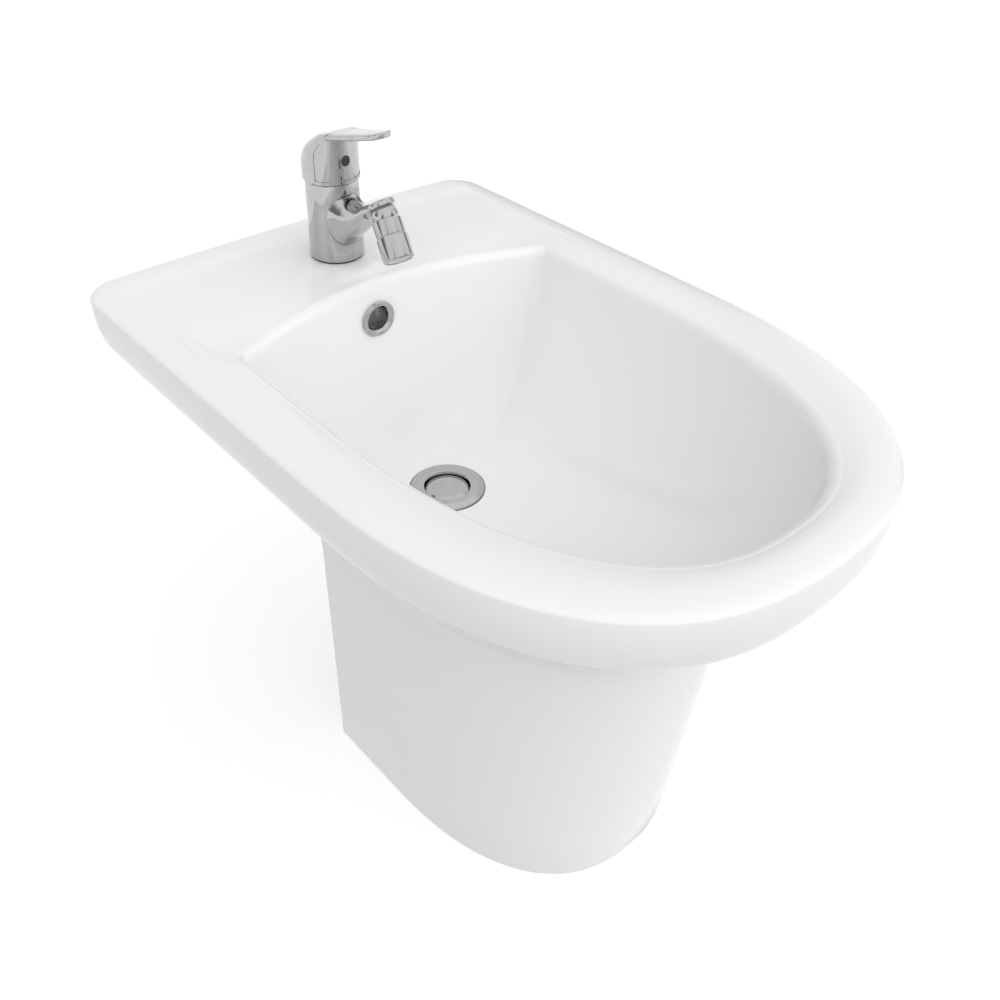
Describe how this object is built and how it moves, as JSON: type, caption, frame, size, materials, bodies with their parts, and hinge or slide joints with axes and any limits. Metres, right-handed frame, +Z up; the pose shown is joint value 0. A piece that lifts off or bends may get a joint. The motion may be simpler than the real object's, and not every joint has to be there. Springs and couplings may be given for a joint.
{
  "type": "floor standing bidet",
  "caption": "Glazed china bidet on its own pedestal, open at the back, with a single lever mixer, a swivel nozzle, an overflow ring and a push-to-open waste.",
  "frame": {"origin": "on the floor, under the centre of the outline's bounding box", "axes": "+Z up, -Y towards the front of the bowl, +Y towards the wall, +X to the right seen from the front"},
  "size_m": [0.376, 0.56, 0.5165],
  "materials": {
    "china": "gloss white glaze",
    "chrome": "polished chrome plate",
    "brass": "turned, unplated",
    "steel": "stainless",
    "black_rubber": "matt",
    "white_plastic": "moulded",
    "dark_plastic": "moulded",
    "disc_ceramic": "lapped"
  },
  "bodies": {
    "bidet": {"china_rim": "china", "china_bowl": "china", "china_pedestal": "china", "overflow_ring": "chrome", "overflow_sleeve": "white_plastic", "waste_body": "chrome", "flange_seal": "black_rubber", "boss_seal": "black_rubber", "slip_washer": "white_plastic", "waste_nut": "brass", "tailpiece": "chrome", "push_sleeve": "white_plastic", "sleeve_cap": "white_plastic", "latch_ring": "brass", "plug_spring": "steel", "tap_body": "chrome", "base_seal": "black_rubber", "fixing_stud": "steel", "horseshoe_seal": "black_rubber", "horseshoe_washer": "steel", "fixing_nut": "brass", "cartridge_case": "white_plastic", "cartridge_seals": "black_rubber", "fixed_disc": "disc_ceramic", "cartridge_nut": "brass", "swivel_housing": "chrome"},
    "mixer_turn": {"turret": "dark_plastic", "pivot_pin": "steel"},
    "lever": {"spindle": "brass", "lever_handle": "chrome", "grub_screw": "steel", "index_plug": "dark_plastic"},
    "mixing_disc": {"disc_carrier": "dark_plastic", "moving_disc": "disc_ceramic"},
    "swivel_cup": {"ball_seat": "white_plastic"},
    "nozzle": {"swivel_ball": "brass", "nozzle_shell": "chrome", "aerator_insert": "white_plastic", "aerator_seal": "black_rubber"},
    "plug": {"plug_spindle": "brass", "plug_cap": "chrome", "plug_seal": "black_rubber"}
  },
  "joints": [
    {"name": "lever_turn", "type": "hinge", "parent": "bidet", "child": "mixer_turn", "pos_m": [0, 0.203, 0.456], "axis": [0, 0, 1], "range_deg": [-50, 50]},
    {"name": "lever_lift", "type": "hinge", "parent": "mixer_turn", "child": "lever", "pos_m": [0, 0.203, 0.456], "axis": [-1, 0, 0], "range_deg": [0, 25]},
    {"name": "disc_slide", "type": "slide", "parent": "mixer_turn", "child": "mixing_disc", "axis": [0, -1, 0], "range_m": [0, 0.006]},
    {"name": "nozzle_tilt", "type": "hinge", "parent": "bidet", "child": "swivel_cup", "pos_m": [0, 0.1335, 0.4535], "axis": [1, 0, 0], "range_deg": [-12, 12]},
    {"name": "nozzle_side", "type": "hinge", "parent": "swivel_cup", "child": "nozzle", "pos_m": [0, 0.1335, 0.4535], "axis": [0, -0.8192, 0.5736], "range_deg": [-12, 12]},
    {"name": "plug_lift", "type": "slide", "parent": "bidet", "child": "plug", "axis": [0, 0, 1], "range_m": [0, 0.009], "deforming": ["plug_spring"]}
  ],
  "couplings": [
    {"joint": "disc_slide", "follows": "lever_lift", "m_per_rad": 0.01356}
  ]
}
